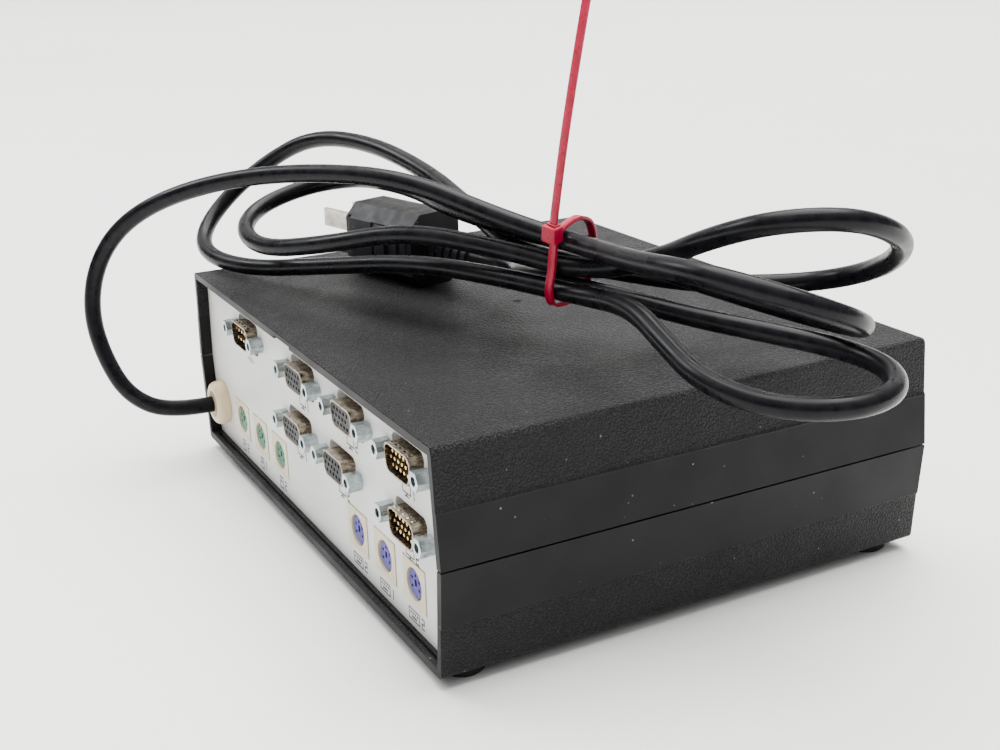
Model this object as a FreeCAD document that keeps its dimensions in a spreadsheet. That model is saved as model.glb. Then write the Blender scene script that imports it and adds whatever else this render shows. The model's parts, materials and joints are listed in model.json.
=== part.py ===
import FreeCAD, Part
import math
import os
import re

import Sketcher

os.makedirs("parts", exist_ok=True)
DOC = FreeCAD.newDocument("kvm_switch")
V = FreeCAD.Vector

# A desktop switch box: two drafted plastic half shells hold a recessed panel at each end.
# The row frame has its origin on the floor under the middle of the box. +X runs along the
# long side of the connector panel, +Y points out of the connector panel, +Z points up.
# Every length is in millimetres.
DIMS = {
    # case
    "case_width": 203.2, "case_depth": 158.8, "foot_height": 3.5, "case_height": 63.5,
    "top_inset": 2.97, "bottom_inset": 2.76, "parting_z": 35.05, "parting_gap": 0.5,
    "upper_step_z": 50.74, "lower_step_z": 18.74, "step": 0.45, "wall_side": 1.9,
    "wall_top": 2.2, "wall_bottom": 2.55, "edge_round": 1.6,
    "boss_x": 90.0, "boss_y": 46.0, "boss_radius": 4.2, "boss_meet_z": 35.05,
    "dimple_x": 1.4, "dimple_y": 0.5, "dimple_radius": 1.5, "dimple_depth": 0.6,
    "notch_width": 13.5, "notch_depth": 1.1, "ledge_groove": 0.8,
    "foot_x": 90.0, "foot_y": 69.0, "foot_radius": 6.35,
    "screw_head_radius": 3.0, "screw_head_height": 2.0, "screw_radius": 1.4, "screw_length": 40.0,
    # end panels
    "panel_face_y": 75.34, "panel_thick": 2.5, "panel_tongue": 0.9,
    "slot_gap": 0.1, "rear_reach": 80.0,
    # D shaped connectors
    "upper_row_z": 54.8, "lower_row_z": 36.5, "dsub_flange_width": 30.8,
    "dsub_flange_height": 12.5, "dsub_flange_thick": 0.8, "dsub_reach": 5.8,
    "dsub_skin": 0.45, "female_width": 16.3, "female_height": 7.9,
    "male_width": 16.9, "male_height": 8.3, "dsub_round": 2.4, "dsub_slope": 1.4,
    "cutout_width": 20.4, "cutout_height": 11.4, "dsub_back": 4.6, "dsub_back_width": 18.0,
    "dsub_back_height": 10.6, "jack_half": 12.495, "jack_flats": 4.9, "jack_reach": 4.45,
    "jack_stud": 1.4, "jack_bore": 1.35, "contact_hole": 0.6, "contact_radius": 0.5,
    # keyboard and mouse sockets
    "socket_z": 19.63, "socket_width": 14.0, "socket_height": 12.62, "socket_depth": 12.6,
    "socket_ring": 4.75, "socket_core": 4.05, "socket_well": 8.6, "socket_gap": 0.25,
    # mains cord and its entry bush
    "cord_x": 89.5, "cord_z": 19.5, "cord_radius": 2.9, "bush_radius": 8.0,
    "bush_neck": 6.2, "bush_inner": 8.6,
    # plug and strain relief
    "plug_length": 35.0, "plug_width": 21.4, "plug_height": 25.0, "plug_chamfer": 4.5,
    "blade_length": 18.0, "blade_thick": 1.5, "blade_width": 6.35, "blade_pitch": 12.7,
    "blade_lift": 4.6, "earth_radius": 2.4, "earth_length": 20.6, "earth_drop": 7.3,
    "relief_length": 20.0, "relief_root": 6.2, "relief_tip": 3.9,
    # cable tie
    "tie_width": 2.5, "tie_thick": 1.1, "tie_head": 4.8,
    # boards
    "board_thick": 1.6, "board_x_min": -84.5, "board_x_max": 79.0, "board_y_min": 8.0,
    "board_y_max": 72.0, "board_top_z": 13.32, "board_boss_radius": 3.2,
    "link_x_min": -92.5, "link_x_max": 69.5, "link_z_min": 29.0, "link_z_max": 62.0,
    # front controls
    "button_width": 12.0, "button_height": 8.0, "button_z": 38.0, "button_gap": 0.35,
    "button_travel": 1.5, "stem_half": 2.0, "switch_half": 3.0,
    "front_board_y": -61.0, "rocker_x": 72.0, "rocker_z": 35.5, "rocker_body_width": 13.0,
    "rocker_body_height": 19.2, "rocker_bezel_width": 15.4, "rocker_bezel_height": 21.4,
    "rocker_bezel_thick": 1.3, "rocker_body_depth": 14.0, "rocker_skin": 0.9,
    "rocker_half_width": 5.2, "rocker_pin_radius": 1.0, "rocker_pin_play": 0.05,
    "rocker_tilt": 9.0, "lamp_radius": 1.5, "lamp_z": 50.0,
}

# Centres along X of the repeated connectors and controls.
FEMALE_PORTS = [(0.8, "upper_row_z"), (-37.5, "upper_row_z"), (6.3, "lower_row_z"), (-28.45, "lower_row_z")]
MALE_PORTS = [(-75.9, "upper_row_z"), (-75.9, "lower_row_z")]
SERIAL_PORT = (52.5, "upper_row_z")
MOUSE_SOCKETS = [67.85, 48.5, 29.15]
KEYBOARD_SOCKETS = [-37.28, -56.63, -75.98]
BUTTONS = [-42.0, -18.0]
LAMPS = [-42.0, -18.0, 72.0]

# Corners of the cord's course from the entry bush to the plug's strain relief.
CORD_ROUTE = [
    # rise behind the connector panel and over the top
    (89.5, 80, 19.5), (89.5, 96, 19.5), (91.7, 109, 27.5), (97.5, 114.5, 41), (102, 116.5, 56.5),
    (102.5, 113, 72.5), (97, 105, 86.5), (85, 93, 97), (64, 76, 105.5), (36, 57, 110.5), (2, 38, 111.5),
    # through the tie, then the short loop on the left
    (-33, 23, 103.3), (-61, 13, 99.8), (-91, 17, 102.4), (-117, 18, 105.8), (-136, 10, 104),
    (-143, -6, 97.5), (-136, -22, 90), (-119, -31, 84.5), (-96, -28, 84), (-76, -13, 89.5),
    # back through the tie, then the short loop on the right
    (-59, 7, 98), (-31, 17, 99), (2, 23, 100.5), (30, 20, 100.5), (56, 20, 99.5), (79, 23, 97.5),
    (91, 37, 94.5), (89.5, 55.5, 90), (76, 67.5, 85.5), (54, 68, 83), (26, 57, 88.5), (-3, 40, 96.5),
    # through the tie, then the high loop on the left
    (-33, 23, 94.5), (-61, 13, 92.5), (-83, 4, 99.2), (-106, 4, 109.8), (-126, -1, 117.2),
    (-135, -18, 117.2), (-130, -38, 109), (-112, -53, 97), (-89, -59, 86.5), (-71, -50, 81.5),
    (-64, -24, 84),
    # back through the tie, then the long loop on the right
    (-57, 5, 91.5), (-31, 17, 92.2), (4, 14, 98), (42, 11, 104), (80, 16, 109.5), (109, 27, 109),
    (127, 40, 98), (132, 55, 85.5), (124, 68, 75), (104, 72.5, 70.8), (77, 65, 70.8), (45, 50, 76.5),
    (5, 34, 84),
    # through the tie, then the low loop over the case's edge
    (-33, 23, 86), (-61, 13, 85.5), (-88, 15, 89.5), (-108, 18, 85), (-127, 21, 81.5),
    (-145, 15.4, 79.5), (-154.2, -0.4, 78.5), (-151, -18.3, 78), (-137, -30, 78), (-119, -30, 78.3),
    (-101, -22, 79), (-81, -10, 80.5),
    # back through the tie to the plug
    (-59, 7, 85.4), (-31, 17, 85.4), (-4.521, 3.376, 79.6), (14.818, 8.476, 79.6),
]
PLUG_FACE = V(68.0, 22.5, 79.6)
PLUG_TURN = math.degrees(math.atan2(0.255, 0.967))
TIE_CENTRE = V(-52.4, 12.8, 0.0)
TIE_TURN = 109.3
TIE_LEAN = 10.0

SHEET = DOC.addObject("Spreadsheet::Sheet", "Dims")
for row, (alias, number) in enumerate(DIMS.items(), start=1):
    SHEET.set("A%d" % row, alias)
    SHEET.set("B%d" % row, str(number))
    SHEET.setAlias("B%d" % row, alias)
DOC.recompute()
WORD = re.compile(r"[a-z][a-z_]+")


def bind(obj, path, formula):
    """Tie one property to a formula written with the sheet's names."""
    text = WORD.sub(lambda m: "Dims." + m.group() if m.group() in DIMS else m.group(), str(formula))
    obj.setExpression(path, text)


def place(obj, position):
    """Tie the three parts of a position to formulas."""
    for letter, formula in zip("xyz", position):
        bind(obj, "Placement.Base." + letter, formula)


def box(name, low, size):
    """Box from its low corner and its three sizes."""
    obj = DOC.addObject("Part::Box", name)
    for prop, formula in zip(("Length", "Width", "Height"), size):
        bind(obj, prop, formula)
    place(obj, low)
    return obj


def centred_box(name, centre, size):
    """Box about a centre."""
    low = ["(%s) - (%s) / 2" % pair for pair in zip(centre, size)]
    return box(name, low, size)


TURNS = {"x": (V(0, 1, 0), 90), "y": (V(-1, 0, 0), 90), "z": (V(0, 0, 1), 0)}


def turn(obj, axis):
    """Lay an upright solid along an axis of the row frame."""
    obj.Placement.Rotation = FreeCAD.Rotation(*TURNS[axis])


def cylinder(name, base, radius, length, axis="z"):
    """Round bar from its base centre along an axis."""
    obj = DOC.addObject("Part::Cylinder", name)
    bind(obj, "Radius", radius)
    bind(obj, "Height", length)
    turn(obj, axis)
    place(obj, base)
    return obj


def cone(name, base, radii, length, axis="z"):
    """Tapered bar from its base centre along an axis."""
    obj = DOC.addObject("Part::Cone", name)
    bind(obj, "Radius1", radii[0])
    bind(obj, "Radius2", radii[1])
    bind(obj, "Height", length)
    turn(obj, axis)
    place(obj, base)
    return obj


def fuse(name, pieces):
    """Union of several solids."""
    obj = DOC.addObject("Part::MultiFuse", name)
    obj.Shapes = pieces
    obj.Refine = True
    return obj


def cut(name, base, tools):
    """First solid less all the tools."""
    obj = DOC.addObject("Part::Cut", name)
    obj.Base = base
    obj.Tool = tools[0] if len(tools) == 1 else fuse(name + "_tools", tools)
    obj.Refine = True
    return obj


def group(name, pieces):
    """Separate solids kept in one sub-part."""
    obj = DOC.addObject("Part::Compound", name)
    obj.Links = pieces
    return obj


def sketch_on(body, name, role, points):
    """Closed outline on one of a body's own planes, every corner tied to two formulas."""
    sketch = body.newObject("Sketcher::SketchObject", name)
    plane = [f for f in body.Origin.OriginFeatures if f.Role == role][0]
    sketch.AttachmentSupport = (plane, [""])
    sketch.MapMode = "FlatFace"
    count = len(points)
    ring = [V(10 * math.cos(2 * math.pi * i / count), 10 * math.sin(2 * math.pi * i / count), 0)
            for i in range(count)]
    for i in range(count):
        sketch.addGeometry(Part.LineSegment(ring[i], ring[(i + 1) % count]), False)
    for i in range(count):
        sketch.addConstraint(Sketcher.Constraint("Coincident", i, 2, (i + 1) % count, 1))
    for i, (first, second) in enumerate(points):
        for kind, formula, spot in (("DistanceX", first, ring[i].x), ("DistanceY", second, ring[i].y)):
            number = sketch.addConstraint(Sketcher.Constraint(kind, -1, 1, i, 1, spot))
            bind(sketch, "Constraints[%d]" % number, formula)
    return sketch


def pad(name, role, points, length, midplane=False, reverse=False):
    """Body with one padded outline."""
    body = DOC.addObject("PartDesign::Body", name)
    sketch = sketch_on(body, name + "_outline", role, points)
    feature = body.newObject("PartDesign::Pad", name + "_pad")
    feature.Profile = sketch
    bind(feature, "Length", length)
    feature.Midplane = midplane
    feature.Reversed = reverse
    sketch.Visibility = False
    DOC.recompute()
    return body


def revolve(name, points):
    """Body turned about its own vertical axis from a half outline of radius and height."""
    body = DOC.addObject("PartDesign::Body", name)
    sketch = sketch_on(body, name + "_outline", "XZ_Plane", points)
    feature = body.newObject("PartDesign::Revolution", name + "_turned")
    feature.Profile = sketch
    feature.ReferenceAxis = ([f for f in body.Origin.OriginFeatures if f.Role == "Z_Axis"][0], [""])
    feature.Angle = 360
    DOC.recompute()
    return body


def edges_along(shape, direction):
    """Names of the straight edges that run along a direction."""
    names = []
    for number, edge in enumerate(shape.Edges, start=1):
        if edge.Curve.TypeId != "Part::GeomLine":
            continue
        if abs(abs(edge.tangentAt(edge.FirstParameter).dot(direction)) - 1) < 1e-6:
            names.append("Edge%d" % number)
    return names


def round_edges(body, names, radius):
    """Fillet on the body's tip."""
    base = body.Tip
    feature = body.newObject("PartDesign::Fillet", body.Name + "_round")
    feature.Base = (base, names)
    bind(feature, "Radius", radius)
    DOC.recompute()
    return body


# ---------------------------------------------------------------- case

def half_width(kind, inside):
    """Half width of a shell's section at its rim, its step and its outer face."""
    wall = " - wall_side" if inside else ""
    rim = "case_width / 2" + wall
    end = "case_width / 2 - %s_inset" % kind + wall
    return rim, end


def top_outline(inside):
    """Section of the top shell, outer skin or hollow."""
    rim, end = half_width("top", inside)
    low = "parting_z + parting_gap / 2" if not inside else "parting_z - 5"
    high = "foot_height + case_height" + (" - wall_top" if inside else "")
    if inside:
        return [(rim, low), (end, high), ("-(" + end + ")", high), ("-(" + rim + ")", low)]
    step_x = "case_width / 2 - top_inset * 0.47"
    right = [(rim, low), (step_x, "upper_step_z - 0.3"),
             (step_x + " - step", "upper_step_z + 0.3"), (end, high)]
    return right + [("-(" + x + ")", z) for x, z in reversed(right)]


def bottom_outline(inside):
    """Section of the bottom shell, outer skin or hollow."""
    rim, end = half_width("bottom", inside)
    high = "parting_z - parting_gap / 2" if not inside else "parting_z + 5"
    low = "foot_height" + (" + wall_bottom" if inside else "")
    if inside:
        return [(rim, high), ("-(" + rim + ")", high), ("-(" + end + ")", low), (end, low)]
    step_x = "case_width / 2 - bottom_inset * 0.47"
    right = [(end, low), (step_x + " - step", "lower_step_z - 0.3"),
             (step_x, "lower_step_z + 0.3"), (rim, high)]
    return right + [("-(" + x + ")", z) for x, z in reversed(right)]


def shell_blank(name, outline, depth):
    """Shell section run along Y about the middle of the case."""
    return pad(name, "XZ_Plane", outline, depth, midplane=True)


def panel_outline(margin):
    """Six sided outline of an end panel, grown past the hollow by a margin."""
    side = "wall_side - " + margin
    rim = "case_width / 2 - (%s)" % side
    top = "case_width / 2 - top_inset - (%s)" % side
    low = "case_width / 2 - bottom_inset - (%s)" % side
    high_z = "foot_height + case_height - wall_top + " + margin
    low_z = "foot_height + wall_bottom - " + margin
    right = [(low, low_z), (rim, "parting_z"), (top, high_z)]
    return right + [("-(" + x + ")", z) for x, z in reversed(right)]


def panel_slot(name, side):
    """Groove round the hollow that takes an end panel's edge."""
    body = pad(name, "XZ_Plane", panel_outline("1.0"), "panel_thick + slot_gap", midplane=True)
    body.Placement.Base.y = 0
    bind(body, "Placement.Base.y", "%s * (panel_face_y - panel_thick / 2 + slot_gap / 2)" % side)
    return body


def boss_bases(z):
    """Corner positions of the case screws."""
    return [("%s * boss_x" % i, "%s * boss_y" % j, z) for i in ("1", "(-1)") for j in ("1", "(-1)")]


def top_shell():
    """Upper half shell with screw bosses, panel grooves, rear notch and the moulding dimple."""
    skin = shell_blank("top_skin", top_outline(False), "case_depth")
    high = [n for n in edges_along(skin.Tip.Shape, V(0, 1, 0))
            if skin.Tip.Shape.getElement(n).CenterOfMass.z > 60]
    round_edges(skin, high, "edge_round")
    hollow = shell_blank("top_hollow", top_outline(True), "case_depth + 2")
    hollowed = cut("top_hollowed", skin, [hollow])
    reach = "foot_height + case_height - wall_top - boss_meet_z + 0.5"
    bosses = [cylinder("top_boss_%d" % i, base, "boss_radius", reach)
              for i, base in enumerate(boss_bases("boss_meet_z"))]
    solid = fuse("top_solid", [hollowed] + bosses)
    pilots = [cylinder("top_pilot_%d" % i, base, "screw_radius", "13")
              for i, base in enumerate(boss_bases("boss_meet_z - 1"))]
    inner_top = "foot_height + case_height - wall_top"
    notch = box("top_notch", ("0", "case_depth / 2 - notch_depth", inner_top + " - 1"),
                ("notch_width", "notch_depth + 1", "1.9"))
    dimple = cone("top_dimple", ("dimple_x", "dimple_y", "foot_height + case_height - dimple_depth"),
                  ("dimple_radius * 0.6", "dimple_radius * 1.02"), "dimple_depth + 0.02")
    slots = [panel_slot("top_rear_slot", "1"), panel_slot("top_front_slot", "(-1)")]
    return cut("top_shell", solid, pilots + [notch, dimple] + slots)


def bottom_shell():
    """Lower half shell with screw bosses, board bosses, panel grooves and a grooved ledge."""
    skin = shell_blank("bottom_skin", bottom_outline(False), "case_depth")
    low = [n for n in edges_along(skin.Tip.Shape, V(0, 1, 0))
           if skin.Tip.Shape.getElement(n).CenterOfMass.z < 6]
    round_edges(skin, low, "edge_round")
    hollow = shell_blank("bottom_hollow", bottom_outline(True), "case_depth + 2")
    hollowed = cut("bottom_hollowed", skin, [hollow])
    floor = "foot_height + wall_bottom - 0.5"
    bosses = [cylinder("bottom_boss_%d" % i, base, "boss_radius", "boss_meet_z - (%s)" % floor)
              for i, base in enumerate(boss_bases(floor))]
    posts = [cylinder("board_post_%d" % i, (x, y, floor), "board_boss_radius",
                      "board_top_z - board_thick - (%s)" % floor)
             for i, (x, y) in enumerate(board_posts())]
    solid = fuse("bottom_solid", [hollowed] + bosses + posts)
    holes = [cylinder("case_bore_%d" % i, base, "screw_radius + 0.1", "40")
             for i, base in enumerate(boss_bases("0"))]
    sinks = [cylinder("case_sink_%d" % i, base, "screw_head_radius + 0.2", "screw_head_height + 2.2")
             for i, base in enumerate(boss_bases("foot_height - 1"))]
    pilots = [cylinder("post_pilot_%d" % i, (x, y, "foot_height + wall_bottom"), "1.1", "20")
              for i, (x, y) in enumerate(board_posts())]
    bed = "foot_height + wall_bottom - ledge_groove"
    grooves = [box("ledge_groove_%s" % tag, ("-case_width / 2 + 8", y, bed),
                   ("case_width - 16", "1.0", "ledge_groove + 0.5"))
               for tag, y in (("rear", "panel_face_y + 1.5"), ("front", "-panel_face_y - 2.5"))]
    slots = [panel_slot("bottom_rear_slot", "1"), panel_slot("bottom_front_slot", "(-1)")]
    return cut("bottom_shell", solid, holes + sinks + pilots + grooves + slots)


def board_posts():
    """Screw positions of the main board."""
    return [(x, y) for x in ("board_x_min + 6", "board_x_max - 6")
            for y in ("board_y_min + 6", "board_y_max - 18")]


def feet():
    """Four round rubber feet with a rounded rim."""
    pieces = []
    for i, (sx, sy) in enumerate((("1", "1"), ("1", "(-1)"), ("(-1)", "1"), ("(-1)", "(-1)"))):
        outline = [("0.01", "0"), ("foot_radius - 1", "0"), ("foot_radius - 0.2", "0.8"),
                   ("foot_radius", "foot_height"), ("0.01", "foot_height")]
        foot = revolve("foot_%d" % i, outline)
        place(foot, ("%s * foot_x" % sx, "%s * foot_y" % sy, "0"))
        pieces.append(foot)
    return group("feet", pieces)


def case_screws():
    """Four long screws that join the shells from below."""
    pieces = []
    for i, base in enumerate(boss_bases("foot_height + 0.7")):
        head = cylinder("case_head_%d" % i, base, "screw_head_radius", "screw_head_height + 0.5")
        x, y = base[:2]
        shank = cylinder("case_shank_%d" % i, (x, y, "foot_height + 2"), "screw_radius", "screw_length")
        slot = centred_box("case_slot_%d" % i, (x, y, "foot_height + 1"), ("4.5", "0.8", "1.4"))
        pieces.append(cut("case_screw_%d" % i, fuse("case_screw_blank_%d" % i, [head, shank]), [slot]))
    return group("case_screws", pieces)


# ---------------------------------------------------------------- end panels

def d_prism(name, centre, width, height, length, start):
    """D shaped bar, wide side up, running along +Y from a starting depth."""
    half, up = "(%s) / 2" % width, "(%s) / 2" % height
    outline = [(half, up), ("-(%s)" % half, up), ("-(%s) + dsub_slope" % half, "-(%s)" % up),
               ("(%s) - dsub_slope" % half, "-(%s)" % up)]
    body = pad(name, "XZ_Plane", outline, length, reverse=True)
    round_edges(body, edges_along(body.Tip.Shape, V(0, 1, 0)), "dsub_round")
    place(body, (str(centre[0]), start, centre[1]))
    return body


def end_panel(name, side):
    """Blank end panel whose edge sits in the shells' grooves."""
    body = pad(name, "XZ_Plane", panel_outline("panel_tongue"), "panel_thick", midplane=True)
    bind(body, "Placement.Base.y", "%s * (panel_face_y - panel_thick / 2)" % side)
    return body


def all_ports():
    """Every D shaped connector."""
    return FEMALE_PORTS + MALE_PORTS + [SERIAL_PORT]


def rear_panel():
    """Connector panel with its cut-outs."""
    blank = end_panel("rear_blank", "1")
    tools = []
    for i, port in enumerate(all_ports()):
        tools.append(d_prism("port_cut_%d" % i, port, "cutout_width", "cutout_height", "panel_thick + 2",
                             "panel_face_y - panel_thick - 1"))
        for j, sign in enumerate(("+", "-")):
            spot = ("%s %s jack_half" % (port[0], sign), "panel_face_y - panel_thick - 1", port[1])
            tools.append(cylinder("jack_cut_%d_%d" % (i, j), spot, "jack_stud + 0.2", "panel_thick + 2", "y"))
    for i, x in enumerate(MOUSE_SOCKETS + KEYBOARD_SOCKETS):
        tools.append(centred_box("socket_cut_%d" % i, (str(x), "panel_face_y", "socket_z"),
                                 ("socket_width + 2 * socket_gap", "panel_thick * 4",
                                  "socket_height + 2 * socket_gap")))
    tools.append(cylinder("bush_cut", ("cord_x", "panel_face_y - panel_thick - 1", "cord_z"),
                          "bush_neck", "panel_thick + 2", "y"))
    return cut("rear_panel", blank, tools)


def front_panel():
    """Control panel with openings for the keys, lamps and power switch, and posts for its board."""
    blank = end_panel("front_blank", "(-1)")
    back = "-panel_face_y + panel_thick"
    posts = [cylinder("front_post_%d" % i, (x, back + " - 0.5", "button_z"), "3",
                      "front_board_y - (%s) + 0.5" % back, "y")
             for i, x in enumerate(("-58", "-2"))]
    solid = fuse("front_solid", [blank] + posts)
    opening = ("button_width + 2 * button_gap", "panel_thick * 4", "button_height + 2 * button_gap")
    tools = [centred_box("key_cut_%d" % i, (str(x), "-panel_face_y", "button_z"), opening)
             for i, x in enumerate(BUTTONS)]
    tools += [cylinder("lamp_cut_%d" % i, (str(x), "-panel_face_y - 1", "lamp_z"), "lamp_radius + 0.1",
                       "6", "y") for i, x in enumerate(LAMPS)]
    tools.append(centred_box("rocker_cut", ("rocker_x", "-panel_face_y", "rocker_z"),
                             ("rocker_body_width + 0.2", "panel_thick * 4", "rocker_body_height + 0.2")))
    return cut("front_panel", solid, tools)


# ---------------------------------------------------------------- connectors

def dsub_shell(name, port, width, height):
    """Plated shell: a D shaped collar on a flange behind the panel."""
    back = "panel_face_y - panel_thick - dsub_flange_thick"
    flange = centred_box(name + "_flange", (str(port[0]), back + " + dsub_flange_thick / 2", port[1]),
                         ("dsub_flange_width", "dsub_flange_thick", "dsub_flange_height"))
    collar = d_prism(name + "_collar", port, width, height, "dsub_flange_thick + dsub_reach", back)
    inner = d_prism(name + "_inner", port, width + " - 2 * dsub_skin", height + " - 2 * dsub_skin",
                    "dsub_flange_thick + dsub_reach + 2", back + " - 1")
    holes = [cylinder("%s_hole_%d" % (name, j), ("%s %s jack_half" % (port[0], sign), back + " - 1", port[1]),
                      "jack_stud + 0.15", "3", "y") for j, sign in enumerate(("+", "-"))]
    return cut(name, fuse(name + "_blank", [flange, collar]), [inner] + holes)


def contact_spots(port, rows, pitch, row_pitch):
    """Contact centres of a connector, row by row from the top."""
    spots = []
    for row, (count, shift) in enumerate(rows):
        z = "%s + %s" % (port[1], (len(rows) - 1) / 2 * row_pitch - row * row_pitch)
        for i in range(count):
            spots.append((str(port[0] + (i - (count - 1) / 2) * pitch + shift), z))
    return spots


HD_ROWS = [(5, 0.0), (5, 1.14), (5, 0.0)]
DE_ROWS = [(5, 0.0), (4, 0.0)]


def dsub_insert(name, port, width, height, front, holes):
    """Moulded contact carrier: a D shaped nose in the shell and a block behind the flange."""
    flange_back = "panel_face_y - panel_thick - dsub_flange_thick"
    nose = d_prism(name + "_nose", port, width + " - 2 * dsub_skin", height + " - 2 * dsub_skin",
                   front + " + 0.5", flange_back + " - 0.5")
    block = box(name + "_block", ("%s - dsub_back_width / 2" % port[0], flange_back + " - dsub_back",
                                  port[1] + " - dsub_back_height / 2"),
                ("dsub_back_width", "dsub_back", "dsub_back_height"))
    solid = fuse(name + ("_blank" if holes else ""), [nose, block])
    if not holes:
        return solid
    tools = [cylinder("%s_hole_%d" % (name, i), (x, "%s + %s - 4" % (flange_back, front), z),
                      "contact_hole", "5", "y") for i, (x, z) in enumerate(holes)]
    return cut(name, solid, tools)


def contact_pins():
    """Round gold pins that stand in the three male connectors."""
    spots = contact_spots(SERIAL_PORT, DE_ROWS, 2.77, 2.84)
    for port in MALE_PORTS:
        spots += contact_spots(port, HD_ROWS, 2.29, 1.98)
    pins = [cylinder("contact_pin_%d" % i, (x, "panel_face_y - panel_thick + 0.4", z), "contact_radius",
                     "dsub_reach - 1.4", "y") for i, (x, z) in enumerate(spots)]
    return group("contact_pins", pins)


def jackscrews():
    """Hexagonal standoffs at both ends of every D shaped connector, each with its threaded stud."""
    pieces = []
    for i, port in enumerate(all_ports()):
        for j, sign in enumerate(("+", "-")):
            tag = "%d_%d" % (i, j)
            x = "%s %s jack_half" % (port[0], sign)
            head = DOC.addObject("Part::Prism", "jack_head_" + tag)
            head.Polygon = 6
            bind(head, "Circumradius", "jack_flats / sqrt(3)")
            bind(head, "Height", "jack_reach")
            turn(head, "y")
            place(head, (x, "panel_face_y", port[1]))
            stud = cylinder("jack_stud_" + tag, (x, "panel_face_y - 6", port[1]), "jack_stud", "6.5", "y")
            bore = cylinder("jack_bore_" + tag, (x, "panel_face_y + jack_reach - 3.6", port[1]),
                            "jack_bore", "5", "y")
            pieces.append(cut("jack_" + tag, fuse("jack_blank_" + tag, [head, stud]), [bore]))
    return group("jackscrews", pieces)


def socket_housing(name, x):
    """Square cream housing of a round keyboard or mouse socket."""
    front = "panel_face_y + 0.25"
    blank = box(name + "_block", ("%s - socket_width / 2" % x, front + " - socket_depth",
                                  "socket_z - socket_height / 2"),
                ("socket_width", "socket_depth", "socket_height"))
    well = cylinder(name + "_well", (str(x), front + " - socket_well", "socket_z"), "socket_ring",
                    "socket_well + 1", "y")
    return cut(name, blank, [well])


def socket_core(name, x):
    """Coloured core of a round socket with six contact holes and a key slot."""
    front = "panel_face_y + 0.25"
    seat = cylinder(name + "_seat", (str(x), front + " - socket_well", "socket_z"), "socket_ring", "1.4", "y")
    stem = cylinder(name + "_stem", (str(x), front + " - socket_well", "socket_z"), "socket_core",
                    "socket_well - 0.5", "y")
    keys = [centred_box(name + "_key", (str(x), front, "socket_z + 0.3"), ("1.3", "9", "2.0"))]
    for i, angle in enumerate((30, 90, 150, 210, 330)):
        spot = (str(x + 2.5 * math.cos(math.radians(angle))), front + " - 4.5",
                "socket_z + %s" % (2.5 * math.sin(math.radians(angle))))
        keys.append(cylinder("%s_hole_%d" % (name, i), spot, "0.5", "6", "y"))
    return cut(name, fuse(name + "_blank", [seat, stem]), keys)


# ---------------------------------------------------------------- inside

def main_board():
    """Horizontal circuit board that carries the sockets."""
    blank = box("main_blank", ("board_x_min", "board_y_min", "board_top_z - board_thick"),
                ("board_x_max - board_x_min", "board_y_max - board_y_min", "board_thick"))
    holes = [cylinder("main_hole_%d" % i, (x, y, "board_top_z - 3"), "1.3", "5")
             for i, (x, y) in enumerate(board_posts())]
    return cut("main_board", blank, holes)


def board_screws():
    """Four small screws that hold the main board to its posts."""
    pieces = []
    for i, (x, y) in enumerate(board_posts()):
        head = cylinder("board_head_%d" % i, (x, y, "board_top_z"), "2.4", "1.6")
        shank = cylinder("board_shank_%d" % i, (x, y, "board_top_z - 6"), "1.1", "6.5")
        pieces.append(fuse("board_screw_%d" % i, [head, shank]))
    return group("board_screws", pieces)


def link_board():
    """Upright circuit board behind the D shaped connectors."""
    back = "panel_face_y - panel_thick - dsub_flange_thick - dsub_back"
    return box("link_board", ("link_x_min", back + " - board_thick", "link_z_min"),
               ("link_x_max - link_x_min", "board_thick", "link_z_max - link_z_min"))


def link_header():
    """Row of pins and a carrier that join the upright board to the main board."""
    back = "panel_face_y - panel_thick - dsub_flange_thick - dsub_back - board_thick"
    strip = box("header_strip", ("-20", back + " - 2.5", "board_top_z"), ("42", "2.5", "8.5"))
    rise = box("header_rise", ("-20", back + " - 2.5", "board_top_z + 8.5"), ("42", "2.5", "10"))
    return fuse("link_header", [strip, rise])


def chips():
    """Flat packages on the main board."""
    spots = [(-70, 40, 18, 18), (-30, 34, 24, 14), (8, 40, 18, 18), (45, 36, 20, 10), (-52, 20, 14, 8)]
    pieces = [centred_box("chip_%d" % i, (str(x), str(y), "board_top_z + 1.2"), (str(a), str(b), "2.4"))
              for i, (x, y, a, b) in enumerate(spots)]
    return group("chips", pieces)


def capacitors():
    """Can capacitors on the main board."""
    spots = [(30, 18, 5.0, 20.0), (42, 18, 4.0, 12.0), (18, 18, 4.0, 12.0)]
    pieces = [cylinder("capacitor_%d" % i, (str(x), str(y), "board_top_z"), str(r), str(tall))
              for i, (x, y, r, tall) in enumerate(spots)]
    return group("capacitors", pieces)


def heat_sink():
    """Finned cooler of the voltage regulator."""
    base = box("sink_base", ("52", "14", "board_top_z"), ("16", "2.0", "22"))
    fins = [box("sink_fin_%d" % i, (str(52 + 3.5 * i), "15.5", "board_top_z"), ("1.6", "8.5", "22"))
            for i in range(5)]
    return fuse("heat_sink", [base] + fins)


def transformer_core():
    """Laminated core that stands on the floor of the case."""
    outer = box("core_outer", ("38", "-42", "foot_height + wall_bottom"), ("42", "20", "36"))
    window = [box("core_window_%d" % i, (x, "-44", "foot_height + wall_bottom + 6"), ("8", "24", "24"))
              for i, x in enumerate(("44", "66"))]
    return cut("transformer_core", outer, window)


def transformer_coil():
    """Wound bobbin round the middle leg of the core."""
    outer = box("coil_outer", ("44.3", "-51", "foot_height + wall_bottom + 6.3"), ("29.4", "38", "23.4"))
    leg = box("coil_leg", ("52", "-42", "foot_height + wall_bottom + 2"), ("14", "20", "33"))
    return cut("transformer_coil", outer, [leg])


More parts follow.
